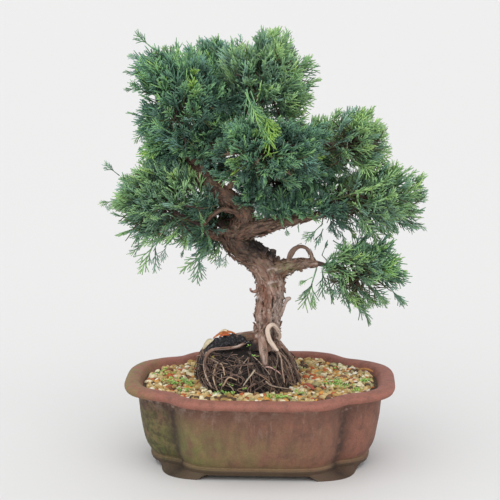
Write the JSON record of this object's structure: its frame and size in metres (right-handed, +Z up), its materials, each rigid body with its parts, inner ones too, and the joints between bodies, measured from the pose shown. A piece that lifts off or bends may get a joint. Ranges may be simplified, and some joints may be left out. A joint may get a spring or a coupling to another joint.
{
  "type": "potted juniper bonsai",
  "caption": "Informal upright juniper bonsai with bare roots and a dense layered crown of scale-leaf foliage, planted in grit in a four-lobed unglazed clay tray on low corner feet.",
  "frame": {"origin": "middle of the whole plant's footprint box, on the level surface that the tray's feet stand on", "axes": "+Z up, +X along the tray's long side to the right as seen in the picture, +Y away from the viewer"},
  "size_m": [0.2564, 0.1692, 0.3505],
  "materials": {
    "clay": "matte",
    "grit": "matte",
    "humus": "matte",
    "bark": "matte",
    "root_wood": "matte",
    "juniper_green": "matte"
  },
  "bodies": {
    "root": {"tray": "clay", "soil": "grit", "root_ball": "humus", "trunk": "bark", "leader": "bark", "bough_right": "bark", "bough_low_right": "bark", "loop_twig": "bark", "bough_low_left": "bark", "bough_low_left_back": "bark", "arched_twig": "bark", "bough_crown_left": "bark", "bough_inner_left": "bark", "bough_crown_back": "bark", "bough_centre": "bark", "bough_centre_front": "bark", "bough_centre_back": "bark", "bough_shoulder_back": "bark", "bough_right_back": "bark", "root_left": "root_wood", "root_front": "root_wood", "root_pale": "root_wood", "root_right": "root_wood", "root_back": "root_wood", "root_back_left": "root_wood", "root_slender": "root_wood", "foliage_apex": "juniper_green", "foliage_crown_left": "juniper_green", "foliage_crown_back": "juniper_green", "foliage_inner_left": "juniper_green", "foliage_shoulder_right": "juniper_green", "foliage_shoulder_back": "juniper_green", "foliage_wide_right": "juniper_green", "foliage_wide_right_back": "juniper_green", "foliage_low_right": "juniper_green", "foliage_low_left": "juniper_green", "foliage_low_left_back": "juniper_green", "foliage_centre_front": "juniper_green", "foliage_centre_back": "juniper_green"}
  },
  "joints": []
}
